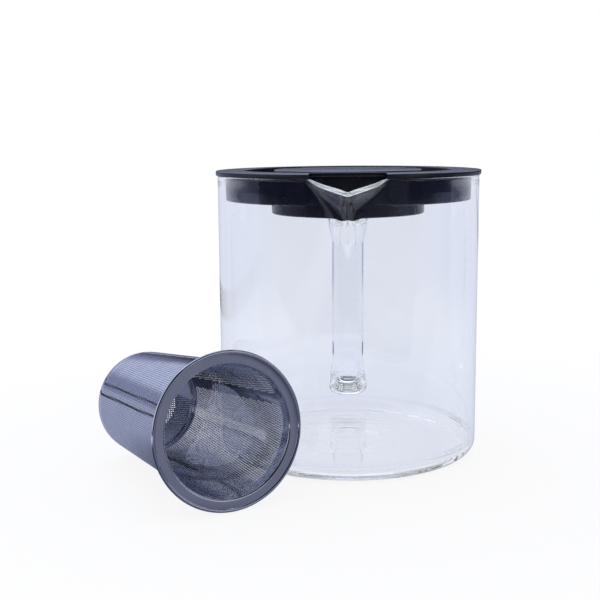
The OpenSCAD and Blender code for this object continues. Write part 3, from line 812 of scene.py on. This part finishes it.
def makeBackdrop():
    world = bpy.data.worlds.new("studio")
    bpy.context.scene.world = world
    world.use_nodes = True
    tree = world.node_tree
    tree.nodes.clear()
    direction = addNode(tree, "ShaderNodeTexCoord", {}).outputs["Generated"]
    coords = layerCoords(tree, direction)
    coords["softBox"] = addNode(tree, "ShaderNodeVectorMath", {
        0: direction, 1: softBoxAt}, operation="DOT_PRODUCT").outputs["Value"]
    seen = mixLayers(tree, coords, backdrop)["seen"]
    light = addNode(tree, "ShaderNodeBackground", {"Color": seen, "Strength": 1.0})
    addNode(tree, "ShaderNodeOutputWorld", {"Surface": light.outputs[0]})


# floor, by place in m: the camera sees white paper; gloss sees it dim in front of the object, with a dark line
# at its far left edge, and light thrown back in the glass finds it dim in front too
paper = dict(
    gloss=["front", ("nearFloor", [("x", -0.12, 0.0)]), ("front", [("slant", -0.1, -0.02)]),
           ("leftWall", [("x", -0.5, -0.35), ("x", -0.24, -0.16, 1, 0)]), ("floor", [("depth", -0.08, 0.02)]),
           ("line", [("reach", 0.38, 0.42), ("reach", 0.54, 0.6, 1, 0)])],
    away=["shade", ("clearFloor", [("backward", -0.6, 0.35)]), ("side", sideWalls)],
    below=["clearFloor", ("shade", [("y", -0.13, -0.07, 1, 0), ("apart", 0.15, 0.19), mirrored])],
    through=["below", ("away", [("apart", 0.3, 0.6)]), ("clearFloor", straight), ("white", led)],
    seen=["gloss", ("through", [("bent", 0, 1)]), ("white", [("camera", 0, 1)])])
paperAxes = dict(depth=(-0.15, 1, 0), slant=(0.75, 1, 0), reach=(-0.72, 0.69, 0))
# the paper keeps a share of the shadow near the jug, and more under the lying basket, where its holes show it
shadow = dict(near=[("apart", 0.14, 0.3, 0.12, 0.0)],
              basket=[("along", 0.0, 0.01), ("along", 0.08, 0.09, 1, 0),
                      ("across", -0.004, 0.002), ("across", 0.02, 0.032, 0.85, 0.0)])
floorPlate = dict(half=4.0, drop=0.0004)


def makeFloor():
    material, tree = newMaterial("paper_floor")
    place = addNode(tree, "ShaderNodeTexCoord", {}).outputs["Object"]
    direction = addNode(tree, "ShaderNodeVectorMath", {0: place}, operation="NORMALIZE").outputs[0]
    fromFoot = addNode(tree, "ShaderNodeVectorMath", {
        0: place, 1: [v * mm for v in lying["foot"]]}, operation="SUBTRACT").outputs[0]
    coords, far = layerCoords(tree, place), layerCoords(tree, direction)
    coords.update(backward=coords["back"], back=far["back"], aside=far["aside"])
    coords["apart"] = addNode(tree, "ShaderNodeVectorMath", {0: place}, operation="LENGTH").outputs["Value"]
    yaw = math.radians(lying["yaw"])
    basketAxes = dict(along=(math.cos(yaw), math.sin(yaw), 0), across=(-math.sin(yaw), math.cos(yaw), 0))
    for start, axes in ((place, paperAxes), (fromFoot, basketAxes)):
        for name, axis in axes.items():
            coords[name] = addNode(tree, "ShaderNodeVectorMath", {
                0: start, 1: axis}, operation="DOT_PRODUCT").outputs["Value"]
    seen = mixLayers(tree, coords, paper)["seen"]
    near, basketShare = [layerShare(tree, coords, spans) for spans in shadow.values()]
    kept = addNode(tree, "ShaderNodeMath", {0: near, 1: basketShare}, operation="MAXIMUM")
    matt = addNode(tree, "ShaderNodeBsdfDiffuse", {"Color": seen})
    glow = addNode(tree, "ShaderNodeEmission", {"Color": seen, "Strength": 1.0})
    shown = addNode(tree, "ShaderNodeMixShader", {0: kept.outputs[0], 1: glow.outputs[0], 2: matt.outputs[0]})
    bounced = addNode(tree, "ShaderNodeMixShader", {
        0: coords["scattered"], 1: shown.outputs[0], 2: matt.outputs[0]})
    addNode(tree, "ShaderNodeOutputMaterial", {"Surface": bounced.outputs[0]})
    half, level = floorPlate["half"], -floorPlate["drop"]
    mesh = bpy.data.meshes.new("floor")
    corners = [(i * half, j * half, level) for i, j in ((-1, -1), (1, -1), (1, 1), (-1, 1))]
    mesh.from_pydata(corners, [], [(0, 1, 2, 3)])
    mesh.materials.append(material)
    floor = bpy.data.objects.new("floor", mesh)
    bpy.context.scene.collection.objects.link(floor)


# soft light above and behind the object, in m and W
topLight = dict(place=(-0.3, 0.4, 1.3), aim=(0, 0, 0.05), size=1.2, power=4.5)


def makeTopLight():
    data = bpy.data.lights.new("top_light", "AREA")
    data.shape, data.size, data.energy = "SQUARE", topLight["size"], topLight["power"]
    data.color = linear(studioTone["above"])[:3]
    lamp = bpy.data.objects.new("top_light", data)
    bpy.context.scene.collection.objects.link(lamp)
    aimed = np.array(topLight["aim"]) - np.array(topLight["place"])
    aimed = aimed / np.linalg.norm(aimed)
    across = np.cross(aimed, [0, 0, 1])
    across = across / np.linalg.norm(across)
    turn = Matrix(np.stack([across, np.cross(across, aimed), -aimed], 1).tolist()).to_4x4()
    lamp.matrix_world = Matrix.Translation(topLight["place"]) @ turn


makeCamera()
makeBackdrop()
makeFloor()
makeTopLight()
bpy.context.scene.view_settings.view_transform = "Standard"
# light runs far inside the glass wall before it leaves at an edge
paths = bpy.context.scene.cycles
paths.max_bounces = paths.transmission_bounces = paths.glossy_bounces = glassLook["bounces"]
print("camera and studio made")
